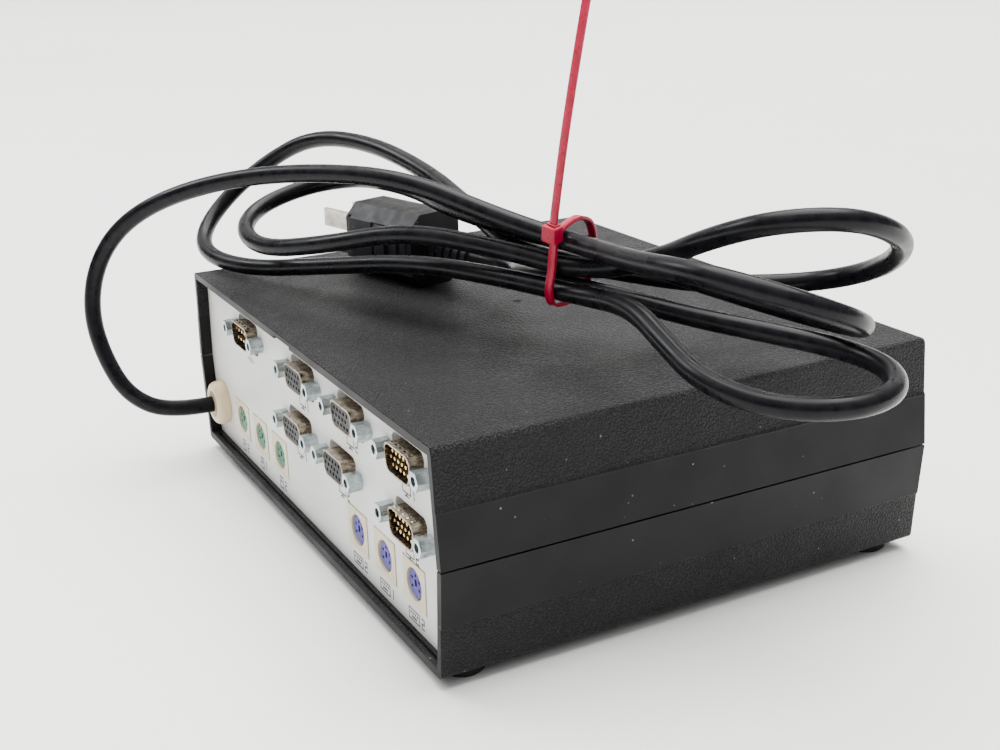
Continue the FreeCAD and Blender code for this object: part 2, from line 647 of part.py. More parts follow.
def fuse_holder():
    """Open cradle with two clips for the fuse."""
    base = box("fuse_base", ("78", "-12", "foot_height + wall_bottom"), ("12", "32", "5"))
    clips = [box("fuse_clip_%d" % i, ("80", y, "foot_height + wall_bottom + 4.5"), ("8", "4", "7"))
             for i, y in enumerate(("-9.5", "13.5"))]
    bed = cylinder("fuse_bed", ("84", "-12", "foot_height + wall_bottom + 9"), "2.6", "40", "y")
    return cut("fuse_holder", fuse("fuse_holder_blank", [base] + clips), [bed])


def fuse_link():
    """Glass fuse held by the clips."""
    return cylinder("fuse_link", ("84", "-8", "foot_height + wall_bottom + 9"), "2.6", "24", "y")


def run_tube(name, route, radius):
    """Bare tube along straight runs joined by tangent arcs, returned with its bend radii."""
    points = [V(*p) for p in route]
    edges, bends, start = [], [], points[0]
    for before, corner, after in zip(points, points[1:], points[2:]):
        back, ahead = (before - corner), (after - corner)
        run = min(back.Length, ahead.Length)
        swing = math.pi - back.getAngle(ahead)
        back.normalize()
        ahead.normalize()
        reach = 0.45 * run
        bends.append(reach / math.tan(swing / 2))
        middle = back + ahead
        middle.normalize()
        inset = bends[-1] / math.cos(swing / 2) - bends[-1]
        enter, leave = corner + back * reach, corner + ahead * reach
        edges.append(Part.LineSegment(start, enter).toShape())
        edges.append(Part.Arc(enter, corner + middle * inset, leave).toShape())
        start = leave
    edges.append(Part.LineSegment(start, points[-1]).toShape())
    path = Part.Wire(edges)
    ring = Part.Wire([Part.Circle(points[0], points[1] - points[0], radius).toShape()])
    tube = path.makePipeShell([ring], True, False)
    obj = DOC.addObject("Part::Feature", name)
    obj.Shape = tube
    return obj, path, bends


def mains_leads():
    """Three insulated cores from the entry bush to the fuse and the transformer."""
    start_y = DIMS["panel_face_y"] - DIMS["bush_inner"]
    ends = [[(83.4, 30, 15), (84, 17.5, 13)],
            [(82.4, 20, 22), (82, -6, 22), (80, -17, 22), (73.7, -17, 22)],
            [(82.4, 20, 26), (82, -9, 27), (81, -20, 28), (73.7, -20, 28)]]
    pieces = []
    for i, end in enumerate(ends):
        z = DIMS["cord_z"] + (i - 1) * 2.4
        route = [(89.5, start_y, z), (89.5, 60, z), (82.4, 53, z)] + end
        pieces.append(run_tube("mains_lead_%d" % i, route, 0.9)[0])
    return group("mains_leads", pieces)


# ---------------------------------------------------------------- front controls

def select_button(name, x):
    """Push key: cap through the panel, a lip behind it and a stem to its switch."""
    back = "-panel_face_y + panel_thick + 0.3"
    cap = centred_box(name + "_cap", (str(x), "(-rear_reach + (%s) + 0.5) / 2" % back, "button_z"),
                      ("button_width", "(%s) + 0.5 + rear_reach" % back, "button_height"))
    lip = box(name + "_lip", ("%s - button_width / 2 - 1.2" % x, back, "button_z - button_height / 2 - 1.2"),
              ("button_width + 2.4", "1.4", "button_height + 2.4"))
    stem = box(name + "_stem", ("%s - stem_half" % x, back, "button_z - stem_half"),
               ("2 * stem_half", "front_board_y - 4.3 - button_travel - 0.3 - (%s)" % back, "2 * stem_half"))
    dish = cylinder(name + "_dish", ("%s - button_width" % x, "-rear_reach - 23.7", "button_z"), "24",
                    "2 * button_width", "x")
    return cut(name, fuse(name + "_blank", [cap, lip, stem]), [dish])


def switch_bodies():
    """Two momentary switches on the front board."""
    pieces = [box("switch_%d" % i, ("%s - switch_half" % x, "front_board_y - 4.3", "button_z - switch_half"),
                  ("2 * switch_half", "4.3", "2 * switch_half")) for i, x in enumerate(BUTTONS)]
    return group("switch_bodies", pieces)


def front_board():
    """Small upright board behind the keys."""
    return box("front_board", ("-64", "front_board_y", "button_z - 12"), ("68", "board_thick", "28"))


def lamps():
    """Three domed indicator lamps with their leads."""
    pieces = []
    for i, x in enumerate(LAMPS):
        front = "-panel_face_y - 1.2"
        dome = DOC.addObject("Part::Sphere", "lamp_dome_%d" % i)
        bind(dome, "Radius", "lamp_radius")
        place(dome, (str(x), front + " + lamp_radius", "lamp_z"))
        stem = cylinder("lamp_stem_%d" % i, (str(x), front + " + lamp_radius", "lamp_z"),
                        "lamp_radius", "4.2", "y")
        collar = cylinder("lamp_collar_%d" % i, (str(x), "-panel_face_y + panel_thick", "lamp_z"),
                          "lamp_radius + 0.5", "1", "y")
        pieces.append(fuse("lamp_%d" % i, [dome, stem, collar]))
    return group("lamps", pieces)


def rocker_housing():
    """Frame of the power switch: a bezel on the panel and a box behind it."""
    front = "-panel_face_y - rocker_bezel_thick"
    bezel = centred_box("rocker_bezel", ("rocker_x", front + " + rocker_bezel_thick / 2", "rocker_z"),
                        ("rocker_bezel_width", "rocker_bezel_thick", "rocker_bezel_height"))
    middle = "(%s) + rocker_bezel_thick / 2 + rocker_body_depth / 2" % front
    shaft = centred_box("rocker_box", ("rocker_x", middle, "rocker_z"),
                        ("rocker_body_width", "rocker_body_depth", "rocker_body_height"))
    well = box("rocker_well", ("rocker_x - rocker_body_width / 2 + rocker_skin", front + " - 1",
                               "rocker_z - rocker_body_height / 2 + rocker_skin"),
               ("rocker_body_width - 2 * rocker_skin", "11", "rocker_body_height - 2 * rocker_skin"))
    side = "rocker_x - rocker_body_width / 2 - 1"
    bore = cylinder("rocker_bore", (side, "-panel_face_y + 0.84", "rocker_z"),
                    "rocker_pin_radius + rocker_pin_play", "rocker_body_width + 2", "x")
    back = front + " + rocker_body_depth + 0.2"
    tabs = [box("rocker_tab_%d" % i, ("rocker_x - 2.4", back, z), ("4.8", "8", "0.8"))
            for i, z in enumerate(("rocker_z - 5", "rocker_z + 4.2"))]
    frame = cut("rocker_frame", fuse("rocker_blank", [bezel, shaft]), [well, bore])
    return fuse("rocker_housing", [frame] + tabs)


def power_rocker():
    """Rocking key with two sloping faces and a pin at each side, stored in its off position."""
    outline = [("-1.0", "-7.9"), ("2.6", "-7.9"), ("1.2", "-0.4"), ("1.2", "0.4"), ("2.6", "7.9"),
               ("-1.0", "7.9"), ("-4.6", "3.0"), ("-4.6", "-3.0")]
    outline = [("-(%s)" % v, u) for v, u in outline]
    key = pad("rocker_key", "YZ_Plane", outline, "2 * rocker_half_width", midplane=True)
    pin = cylinder("rocker_pin", ("-rocker_body_width / 2 + 0.1", "0", "0"), "rocker_pin_radius",
                   "rocker_body_width - 0.2", "x")
    rocker = fuse("power_rocker", [key, pin])
    rocker.Placement.Rotation = FreeCAD.Rotation(V(1, 0, 0), -DIMS["rocker_tilt"])
    place(rocker, ("rocker_x", "-panel_face_y + 0.84", "rocker_z"))
    return rocker


# ---------------------------------------------------------------- cord set

def cord_bushing():
    """Ivory strain relief bush snapped into the panel."""
    outline = [("0.01", "-bush_inner"), ("bush_neck - 0.8", "-bush_inner"),
               ("bush_neck + 0.5", "-panel_thick - 1.6"), ("bush_neck + 0.5", "-panel_thick"),
               ("bush_neck", "-panel_thick"), ("bush_neck", "0"),
               ("bush_radius", "0"), ("bush_radius", "2.6"), ("bush_radius - 0.7", "3.9"),
               ("bush_radius - 2.2", "rear_reach - panel_face_y"), ("0.01", "rear_reach - panel_face_y")]
    body = revolve("cord_bushing", outline)
    turn(body, "y")
    place(body, ("cord_x", "panel_face_y", "cord_z"))
    return body


def mains_cord():
    """Round flexible cord, measured and checked as it is made."""
    obj, path, bends = run_tube("mains_cord", CORD_ROUTE, DIMS["cord_radius"])
    volume = math.pi * DIMS["cord_radius"] ** 2 * path.Length
    print("cord length %.1f, volume ratio %.4f" % (path.Length, obj.Shape.Volume / volume))
    print("cord bend radii", " ".join("%.0f" % r for r in bends))
    return obj


def lay_on_plug_axis(obj, along, across, up):
    """Place a solid drawn about the origin at a point of the plug's own frame."""
    turned = FreeCAD.Rotation(V(0, 0, 1), PLUG_TURN)
    obj.Placement = FreeCAD.Placement(PLUG_FACE + turned.multVec(V(along, across, up)), turned)
    return obj


def plug_body():
    """Moulded straight plug with chamfered long edges and grip ribs, lying on the case."""
    half, up, trim = "plug_width / 2", "plug_height / 2", "plug_chamfer"
    quarter = [(half, up + " - " + trim), (half + " - " + trim, up)]
    outline = quarter + [("-(%s)" % x, z) for x, z in reversed(quarter)]
    outline += [("-(%s)" % x, "-(%s)" % z) for x, z in quarter]
    outline += [(x, "-(%s)" % z) for x, z in reversed(quarter)]
    body = pad("plug_block", "YZ_Plane", outline, "plug_length", reverse=True)
    recess = [centred_box("plug_recess_%d" % i, (str(-9 - 4 * i), "%s * (plug_width / 2)" % side, "0"),
                          ("1.6", "1.2", "plug_height - 12"))
              for side in ("1", "(-1)") for i in range(5)]
    for number, tool in enumerate(recess):
        tool.Label = "plug_groove_%d" % number
    return lay_on_plug_axis(cut("plug_body", body, recess), 0, 0, 0)


def plug_blades():
    """Two flat blades and a round earth pin."""
    blades = [centred_box("blade_%d" % i, ("blade_length / 2", "%s * blade_pitch / 2" % side, "blade_lift"),
                          ("blade_length", "blade_thick", "blade_width"))
              for i, side in enumerate(("1", "(-1)"))]
    earth = cylinder("earth_pin", ("0", "0", "-earth_drop"), "earth_radius", "earth_length", "x")
    return lay_on_plug_axis(group("plug_blades", blades + [earth]), 0, 0, 0)


def plug_relief():
    """Ribbed flexible sleeve between the plug and the cord."""
    ribs = 6
    pitch = DIMS["relief_length"] / ribs
    outline = [("0.01", "0")]
    for i in range(ribs):
        wide = DIMS["relief_root"] + (DIMS["relief_tip"] - DIMS["relief_root"]) * i / (ribs - 1)
        outline += [(str(wide), str(i * pitch)), (str(wide - 0.15), str(i * pitch + 0.62 * pitch)),
                    (str(wide - 1.0), str(i * pitch + 0.66 * pitch)), (str(wide - 1.0), str((i + 1) * pitch))]
    outline[-1] = (outline[-1][0], "relief_length")
    outline.append(("0.01", "relief_length"))
    body = revolve("plug_relief", outline)
    turned = FreeCAD.Rotation(V(0, 0, 1), PLUG_TURN)
    spot = PLUG_FACE + turned.multVec(V(-DIMS["plug_length"], 0, 0))
    body.Placement = FreeCAD.Placement(spot, turned * FreeCAD.Rotation(V(0, 1, 0), -90))
    return body


def cable_tie():
    """Nylon tie: band under and in front of the bundle, loose arch behind, head and long tail."""
    outer = [(7.9, 83.4), (8.4, 102.0), (4.9, 105.9), (-1.5, 106.9), (-7.2, 104.9), (-10.8, 98.0),
             (-11.0, 91.5), (-9.4, 84.0), (-4.5, 80.5), (4.0, 80.4)]
    centre = V(-1.0, 93.5, 0)
    inner = []
    for x, z in outer:
        arm = V(x, z, 0) - centre
        arm = arm * ((arm.Length - DIMS["tie_thick"]) / arm.Length)
        inner.append((centre.x + arm.x, centre.y + arm.y))
    band = pad("tie_outer", "XZ_Plane", [(str(x), str(z)) for x, z in outer], "tie_width", midplane=True)
    hole = pad("tie_inner", "XZ_Plane", [(str(x), str(z)) for x, z in inner], "tie_width + 2", midplane=True)
    ring = cut("tie_ring", band, [hole])
    head = centred_box("tie_head_block", ("9.0", "0", "103.6"), ("tie_head * 0.8", "tie_head", "tie_head"))
    tail = DOC.addObject("Part::Box", "tie_tail")
    bind(tail, "Length", "tie_thick")
    bind(tail, "Width", "tie_width")
    tail.Height = 78
    tail.Placement.Base = V(8.6, -1.25, 104.0)
    tie = fuse("cable_tie", [ring, head, tail])
    stance = FreeCAD.Rotation(V(0, 0, 1), TIE_TURN) * FreeCAD.Rotation(V(1, 0, 0), -TIE_LEAN)
    tie.Placement = FreeCAD.Placement(TIE_CENTRE, stance, V(0, 0, 93.0))
    return tie


# ---------------------------------------------------------------- assembly

def build():
    """Every sub-part by its node name."""
    nodes = {}
    makers = [top_shell, bottom_shell, feet, case_screws, rear_panel, front_panel, main_board, board_screws,
              link_board, link_header, chips, capacitors, heat_sink, transformer_core, transformer_coil,
              fuse_holder, fuse_link, mains_leads, jackscrews, contact_pins, switch_bodies, front_board,
              lamps, rocker_housing, power_rocker, cord_bushing, mains_cord, plug_body, plug_blades,
              plug_relief, cable_tie]
    for maker in makers:
        nodes[maker.__name__] = maker()
    for i, x in enumerate(BUTTONS, start=1):
        nodes["select_button_%d" % i] = select_button("select_button_%d" % i, x)
    for i, port in enumerate(FEMALE_PORTS, start=1):
        shell, insert = "video_out_shell_%d" % i, "video_out_insert_%d" % i
        nodes[shell] = dsub_shell(shell, port, "female_width", "female_height")
        spots = contact_spots(port, HD_ROWS, 2.29, 1.98)
        nodes[insert] = dsub_insert(insert, port, "female_width", "female_height",
                                    "dsub_flange_thick + dsub_reach - 0.1", spots)
    males = [("video_in_%d" % i, port) for i, port in enumerate(MALE_PORTS, start=1)]
    for name, port in males + [("serial", SERIAL_PORT)]:
        nodes[name + "_shell"] = dsub_shell(name + "_shell", port, "male_width", "male_height")
        nodes[name + "_insert"] = dsub_insert(name + "_insert", port, "male_width", "male_height",
                                              "dsub_flange_thick + 0.4", None)
    for kind, spots in (("mouse", MOUSE_SOCKETS), ("keyboard", KEYBOARD_SOCKETS)):
        for i, x in enumerate(spots, start=1):
            name = "%s_socket_%d" % (kind, i)
            nodes[name] = socket_housing(name, x)
            nodes[name + "_core"] = socket_core(name + "_core", x)
    return nodes


def export(nodes):
    """Check every sub-part and write it as its own file."""
    DOC.recompute()
    for obj in DOC.Objects:
        bad = [s for s in obj.State if s in ("Invalid", "Error")]
        if bad:
            raise RuntimeError("%s is %s" % (obj.Name, bad))
    for name, obj in nodes.items():
        shape = obj.Shape
        if shape.isNull() or not shape.isValid() or not shape.Solids:
            raise RuntimeError(name + " has no valid solid")
        obj.Label = name
        shape.exportStep("parts/%s.step" % name)
    print(len(nodes), "sub-parts")


export(build())
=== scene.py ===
import json
import math

import bmesh
import bpy
from mathutils import Matrix, Vector


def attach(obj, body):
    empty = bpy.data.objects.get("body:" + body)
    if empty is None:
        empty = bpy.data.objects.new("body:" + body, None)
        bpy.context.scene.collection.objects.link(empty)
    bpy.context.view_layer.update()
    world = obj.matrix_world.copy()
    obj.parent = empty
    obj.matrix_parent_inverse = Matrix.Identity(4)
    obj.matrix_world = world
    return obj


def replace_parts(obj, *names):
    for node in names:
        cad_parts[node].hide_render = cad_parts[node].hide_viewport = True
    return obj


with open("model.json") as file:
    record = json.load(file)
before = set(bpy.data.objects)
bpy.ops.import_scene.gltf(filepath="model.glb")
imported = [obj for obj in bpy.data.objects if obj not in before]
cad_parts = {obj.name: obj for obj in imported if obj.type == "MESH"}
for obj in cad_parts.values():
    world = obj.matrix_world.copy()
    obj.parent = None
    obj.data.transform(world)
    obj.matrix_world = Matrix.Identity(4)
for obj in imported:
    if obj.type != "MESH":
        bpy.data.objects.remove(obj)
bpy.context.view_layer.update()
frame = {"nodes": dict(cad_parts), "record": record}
MM = 0.001
AWAY = Vector((0.886, -0.464, 0))    # level direction from the camera over the box


PANEL_Y = 75.34    # face of the connector panel, in millimetres


def mm(*numbers):
    """Vector from lengths in millimetres."""
    return Vector(numbers) * MM


# ---------------------------------------------------------------- camera, light and stage

def add_camera():
    """Camera beyond the connector panel's near corner, about 0.45 m from the box's middle."""
    data = bpy.data.cameras.new("camera")
    camera = bpy.data.objects.new("camera", data)
    bpy.context.scene.collection.objects.link(camera)
    right = Vector((-0.47229, -0.88102, -0.02739))
    down = Vector((-0.27748, 0.17810, -0.94408))
    ahead = Vector((0.83663, -0.43828, -0.32858))
    pose = Matrix((right, -down, -ahead)).transposed().to_4x4()
    pose.translation = Vector((-0.37525, 0.20483, 0.19077))
    camera.matrix_world = pose
    data.lens = 49.33
    data.sensor_width = 36.0
    data.clip_start = 0.01
    bpy.context.scene.camera = camera


def add_area(name, place, aim, size, power, colour):
    """Square softbox aimed at a point."""
    data = bpy.data.lights.new(name, "AREA")
    data.size = size
    data.energy = power
    data.color = colour
    light = bpy.data.objects.new(name, data)
    bpy.context.scene.collection.objects.link(light)
    light.location = place
    light.rotation_euler = (Vector(aim) - Vector(place)).to_track_quat("-Z", "Y").to_euler()


def add_light():
    """White ceiling light from all round overhead, a small window light and dim surroundings."""
    world = bpy.data.worlds.new("world")
    bpy.context.scene.world = world
    world.use_nodes = True
    tree = world.node_tree
    back = tree.nodes["Background"]
    split = tree.nodes.new("ShaderNodeSeparateXYZ")
    tree.links.new(tree.nodes.new("ShaderNodeTexCoord").outputs["Generated"], split.inputs["Vector"])
    ramp = tree.nodes.new("ShaderNodeValToRGB")
    tree.links.new(split.outputs["Z"], ramp.inputs["Fac"])
    tree.links.new(ramp.outputs["Color"], back.inputs["Color"])
    ramp.color_ramp.elements[0].color = (0.10, 0.105, 0.12, 1)
    ramp.color_ramp.elements[0].position = 0.30
    ramp.color_ramp.elements[1].color = (1.5, 1.49, 1.45, 1)
    ramp.color_ramp.elements[1].position = 0.85
    sun = bpy.data.lights.new("ceiling", "SUN")
    sun.energy = 8.2
    sun.angle = math.radians(64)
    sun.color = (1.0, 0.995, 0.975)
    lamp = bpy.data.objects.new("ceiling", sun)
    bpy.context.scene.collection.objects.link(lamp)
    lamp.rotation_euler = (-AWAY * 0.30 + Vector((0.05, 0.05, -1))).to_track_quat("-Z", "Y").to_euler()
    add_area("window", place=(0.75, 0.55, 0.75), aim=(0.05, 0.05, 0.05), size=0.35, power=5.0,
             colour=(0.97, 0.985, 1.0))


def add_floor():
    """Pale seamless sweep that runs away from the camera."""
    mesh = bpy.data.meshes.new("floor")
    profile = [(-3.0, 0.0), (3.6, 0.0), (4.2, 0.12), (4.6, 0.5), (4.8, 1.2), (4.8, 3.0)]
    across = Vector((0.464, 0.886, 0))
    half_width = 5.0
    verts = [AWAY * d + across * s + Vector((0, 0, h)) for d, h in profile for s in (-half_width, half_width)]
    faces = [(2 * i, 2 * i + 2, 2 * i + 3, 2 * i + 1) for i in range(len(profile) - 1)]
    mesh.from_pydata(verts, [], faces)
    floor = bpy.data.objects.new("floor", mesh)
    bpy.context.scene.collection.objects.link(floor)
    look = Look("floor_paper", (0.90, 0.90, 0.89), rough=0.6, spec=0.3)
    cloud = look.noise(3.0, 3)
    look.colour(look.ramp(cloud, [(0.3, (0.885, 0.885, 0.875)), (0.75, (0.915, 0.915, 0.905))]))
    look.bump(look.noise(90, 3), 0.1, 0.1)
    mesh.materials.append(look.mat)


# ---------------------------------------------------------------- materials

class Look:
    """Principled material built up node by node in the object's own metres."""

    def __init__(self, name, colour, rough=0.5, metal=0.0, spec=0.5, coat=0.0):
        self.mat = bpy.data.materials.new(name)
        self.mat.use_nodes = True
        self.tree = self.mat.node_tree
        self.shader = self.tree.nodes["Principled BSDF"]
        self.shader.inputs["Base Color"].default_value = (*colour, 1)
        self.shader.inputs["Roughness"].default_value = rough
        self.shader.inputs["Metallic"].default_value = metal
        self.shader.inputs["Specular IOR Level"].default_value = spec
        self.shader.inputs["Coat Weight"].default_value = coat
        self.where = self.node("ShaderNodeTexCoord").outputs["Object"]
        self.normal = None

    def node(self, kind, settings=None, **inputs):
        """New node with plain settings and with values or links on its inputs."""
        made = self.tree.nodes.new(kind)
        for key, value in (settings or {}).items():
            setattr(made, key, value)
        for key, value in inputs.items():
            self.feed(made.inputs[key.replace("_", " ")], value)
        return made

    def feed(self, socket, value):
        """Link an output to an input, or set a plain value."""
        if isinstance(value, bpy.types.NodeSocket):
            self.tree.links.new(value, socket)
        elif isinstance(value, tuple) and socket.type == "RGBA":
            socket.default_value = (*value[:3], 1)
        else:
            socket.default_value = value

    def noise(self, scale, detail=2, rough=0.5, vector=None):
        """Smooth random value."""
        return self.node("ShaderNodeTexNoise", Vector=vector or self.where, Scale=scale, Detail=detail,
                         Roughness=rough).outputs["Fac"]

    def cells(self, scale, vector=None):
        """Distance to the nearest of scattered points."""
        return self.node("ShaderNodeTexVoronoi", Vector=vector or self.where, Scale=scale).outputs["Distance"]

    def math(self, operation, first, second=0.0, clamp=False):
        """Arithmetic on values or links."""
        made = self.tree.nodes.new("ShaderNodeMath")
        made.operation = operation
        made.use_clamp = clamp
        self.feed(made.inputs[0], first)
        self.feed(made.inputs[1], second)
        return made.outputs[0]

    def ramp(self, source, stops):
        """Colour ramp over a value."""
        made = self.node("ShaderNodeValToRGB", Fac=source)
        bar = made.color_ramp
        while len(bar.elements) < len(stops):
            bar.elements.new(0.5)
        for element, (spot, tint) in zip(bar.elements, stops):
            element.position = spot
            element.color = (*tint, 1)
        return made.outputs["Color"]

    def span(self, source, low, high, to_low=0.0, to_high=1.0):
        """Value mapped from one range to another and held at the ends."""
        made = self.node("ShaderNodeMapRange", {"clamp": True}, Value=source)
        for key, value in (("From Min", low), ("From Max", high), ("To Min", to_low), ("To Max", to_high)):
            made.inputs[key].default_value = value
        return made.outputs["Result"]

    def blend(self, amount, first, second):
        """Mix of two colours."""
        made = self.node("ShaderNodeMix", {"data_type": "RGBA"})
        self.feed(made.inputs[0], amount)
        self.feed(made.inputs[6], first)
        self.feed(made.inputs[7], second)
        return made.outputs[2]

    def axes(self):
        """The three coordinates of the shaded point."""
        split = self.node("ShaderNodeSeparateXYZ", Vector=self.where)
        return split.outputs["X"], split.outputs["Y"], split.outputs["Z"]

    def colour(self, source):
        """Base colour from a link."""
        self.feed(self.shader.inputs["Base Color"], source)

    def rough(self, source):
        """Roughness from a link."""
        self.feed(self.shader.inputs["Roughness"], source)

    def bump(self, height, strength, depth_mm):
        """Relief of a height field, stacked on any earlier relief."""
        made = self.node("ShaderNodeBump", Height=height, Strength=strength, Distance=depth_mm * MM)
        if self.normal is not None:
            self.feed(made.inputs["Normal"], self.normal)
        self.normal = made.outputs["Normal"]
        self.feed(self.shader.inputs["Normal"], self.normal)


def specks(look, tint, density, strength, base):
    """Sparse pale dust over a colour."""
    dots = look.cells(density)
    thin = look.noise(160, 2)
    spot = look.math("MULTIPLY", look.span(dots, 0.05, 0.09, 1, 0), look.span(thin, 0.56, 0.62))
    return look.blend(look.math("MULTIPLY", spot, strength), base, tint)


def case_plastic():
    """Charcoal moulding: leathery grain on the faces, smooth bands beside the joint and smooth rims, with
    painted highlights lightening the grain's peaks, most on the top face.
    """
    look = Look("case_plastic", (0.004, 0.004, 0.0055), rough=0.5, spec=0.2)
    _, y, z = look.axes()
    above = look.span(z, 0.0501, 0.0508)                                # over the upper step
    below = look.span(z, 0.0185, 0.0190, 1, 0)                          # under the lower step
    rim = look.span(look.math("ABSOLUTE", y), 0.0789, 0.0792, 1, 0)     # all but the end rims
    grainy = look.math("MULTIPLY", look.math("ADD", above, below, clamp=True), rim)
    deep = look.math("MULTIPLY", grainy, look.span(z, 0.0630, 0.0668, 0.42, 1.0))
    sway = look.node("ShaderNodeTexNoise", Vector=look.where, Scale=520.0, Detail=2.0).outputs["Color"]
    bent = look.node("ShaderNodeVectorMath", {"operation": "MULTIPLY_ADD"})
    look.feed(bent.inputs[0], sway)
    bent.inputs[1].default_value = (0.0007, 0.0007, 0.0007)
    look.feed(bent.inputs[2], look.where)
    pebble = look.cells(1500, vector=bent.outputs[0])
    fine = look.noise(3200, 2)
    relief = look.math("ADD", look.span(pebble, 0.1, 0.75), look.math("MULTIPLY", fine, 0.4))
    look.bump(look.math("MULTIPLY", relief, deep), 1.0, 0.55)
    look.bump(look.noise(900, 4), 0.25, 0.02)
    # Painted highlight: the base colour is lighter on the grain's raised pebbles, where they would catch the
    # light, and strongest on the top face; the same mask also makes the peaks a little glossier.
    peak = look.math("MULTIPLY", look.span(relief, 0.95, 0.3), deep)
    tone = look.ramp(peak, [(0.0, (0.0020, 0.0020, 0.0032)), (1.0, (0.0270, 0.0260, 0.0280))])
    hazy = look.blend(look.span(look.noise(22, 3), 0.35, 0.7, 0.0, 0.3), tone, (0.0100, 0.0096, 0.0104))
    look.colour(specks(look, (0.40, 0.38, 0.35), 260, 0.5, hazy))
    look.rough(look.math("SUBTRACT", look.span(look.noise(60, 3), 0.3, 0.7, 0.46, 0.58),
                         look.math("MULTIPLY", peak, 0.16)))
    return look.mat


def panel_grey():
    """Smooth warm grey moulding, a little uneven and yellowed near the bush."""
    look = Look("panel_grey", (0.74, 0.74, 0.72), rough=0.42, spec=0.4)
    x = look.axes()[0]
    patch = look.noise(35, 4)
    tone = look.ramp(patch, [(0.3, (0.70, 0.705, 0.69)), (0.7, (0.77, 0.775, 0.765))])
    near = look.span(x, 0.055, 0.098)
    look.colour(look.blend(look.math("MULTIPLY", near, 0.25), tone, (0.62, 0.55, 0.42)))
    look.bump(look.noise(1800, 2), 0.15, 0.02)
    look.rough(look.span(look.noise(120, 3), 0.3, 0.7, 0.36, 0.5))
    return look.mat


def soft_black(name, colour=(0.005, 0.005, 0.0065), rough=0.38, grain=700, relief=0.03):
    """Black plastic or rubber with a faint matt bloom."""
    look = Look(name, colour, rough=rough, spec=0.22)
    bloom = look.noise(90, 4)
    lift = tuple(c * 1.9 for c in colour)
    base = look.ramp(bloom, [(0.35, colour), (0.8, lift)])
    look.colour(specks(look, (0.30, 0.29, 0.28), 330, 0.5, base))
    look.rough(look.span(look.noise(240, 3), 0.3, 0.75, rough - 0.06, rough + 0.1))
    look.bump(look.noise(grain, 3), 0.3, relief)
    return look.mat


def cord_black():
    """Satin black sheath with faint scuffs."""
    look = Look("cord_black", (0.004, 0.004, 0.0055), rough=0.30, spec=0.13)
    scuff = look.noise(300, 5, 0.6)
    look.colour(look.ramp(scuff, [(0.4, (0.0035, 0.0035, 0.005)), (0.78, (0.0095, 0.0095, 0.0115))]))
    look.rough(look.span(look.noise(150, 4), 0.3, 0.7, 0.22, 0.38))
    look.bump(look.noise(160, 2), 0.2, 0.02)
    return look.mat


def plated(name, dark, light, rough, smear=0.5):
    """Plated steel with uneven tarnish and fine drawing marks."""
    look = Look(name, light, rough=rough, metal=1.0)
    tarnish = look.noise(420, 5, 0.6)
    look.colour(look.ramp(tarnish, [(0.3, dark), (0.3 + smear * 0.6, light)]))
    squeezed = look.node("ShaderNodeMapping", Vector=look.where)
    squeezed.inputs["Scale"].default_value = (1.0, 0.12, 1.0)
    drawn = look.noise(4200, 2, vector=squeezed.outputs[0])
    look.rough(look.span(drawn, 0.3, 0.7, rough - 0.07, rough + 0.12))
    look.bump(drawn, 0.2, 0.01)
    return look.mat


def moulded(name, dark, light, rough=0.42, grain=900):
    """Coloured moulding with slight mottling."""
    look = Look(name, light, rough=rough, spec=0.3)
    look.colour(look.ramp(look.noise(120, 4), [(0.3, dark), (0.7, light)]))
    look.rough(look.span(look.noise(400, 3), 0.3, 0.7, rough - 0.06, rough + 0.08))
    look.bump(look.noise(grain, 2), 0.2, 0.02)
    return look.mat


def bush_ivory():
    """Aged ivory nylon, browned on its upper side."""
    look = Look("bush_ivory", (0.80, 0.66, 0.42), rough=0.36, spec=0.4)
    z = look.axes()[2]
    heat = look.math("MULTIPLY", look.span(z, 0.0215, 0.0285), look.span(look.noise(190, 3), 0.35, 0.62))
    tone = look.ramp(look.noise(150, 4), [(0.3, (0.72, 0.58, 0.36)), (0.7, (0.82, 0.70, 0.48))])
    look.colour(look.blend(look.math("MULTIPLY", heat, 0.8), tone, (0.56, 0.35, 0.14)))
    look.shader.inputs["Subsurface Weight"].default_value = 0.15
    look.shader.inputs["Subsurface Radius"].default_value = (0.002, 0.0015, 0.001)
    look.bump(look.noise(500, 3), 0.3, 0.05)
    return look.mat


def tie_red():
    """Slightly translucent red nylon."""
    look = Look("tie_red", (0.38, 0.0006, 0.030), rough=0.32, spec=0.25)
    look.colour(look.ramp(look.noise(260, 3), [(0.3, (0.32, 0.0004, 0.024)), (0.75, (0.45, 0.001, 0.040))]))
    look.shader.inputs["Subsurface Weight"].default_value = 0.12
    look.shader.inputs["Subsurface Radius"].default_value = (0.003, 0.0006, 0.0006)
    look.rough(look.span(look.noise(700, 3), 0.3, 0.7, 0.24, 0.4))
    look.bump(look.noise(900, 2), 0.2, 0.02)
    return look.mat


def circuit_board():
    """Green solder mask with a lighter grid of tracks."""
    look = Look("circuit_board", (0.03, 0.16, 0.07), rough=0.3, spec=0.5, coat=0.3)
    tracks = look.node("ShaderNodeTexBrick", {"offset": 0.5}, Vector=look.where, Scale=90.0)
    tracks.inputs["Mortar Size"].default_value = 0.012
    look.colour(look.blend(tracks.outputs["Fac"], (0.020, 0.13, 0.055), (0.05, 0.24, 0.10)))
    look.bump(tracks.outputs["Fac"], 0.3, 0.03)
    return look.mat


def glassy():
    """Clear glass tube."""
    look = Look("fuse_glass", (0.9, 0.93, 0.93), rough=0.05)
    look.shader.inputs["Transmission Weight"].default_value = 0.9
    look.rough(look.span(look.noise(300, 2), 0.3, 0.7, 0.03, 0.12))
    return look.mat


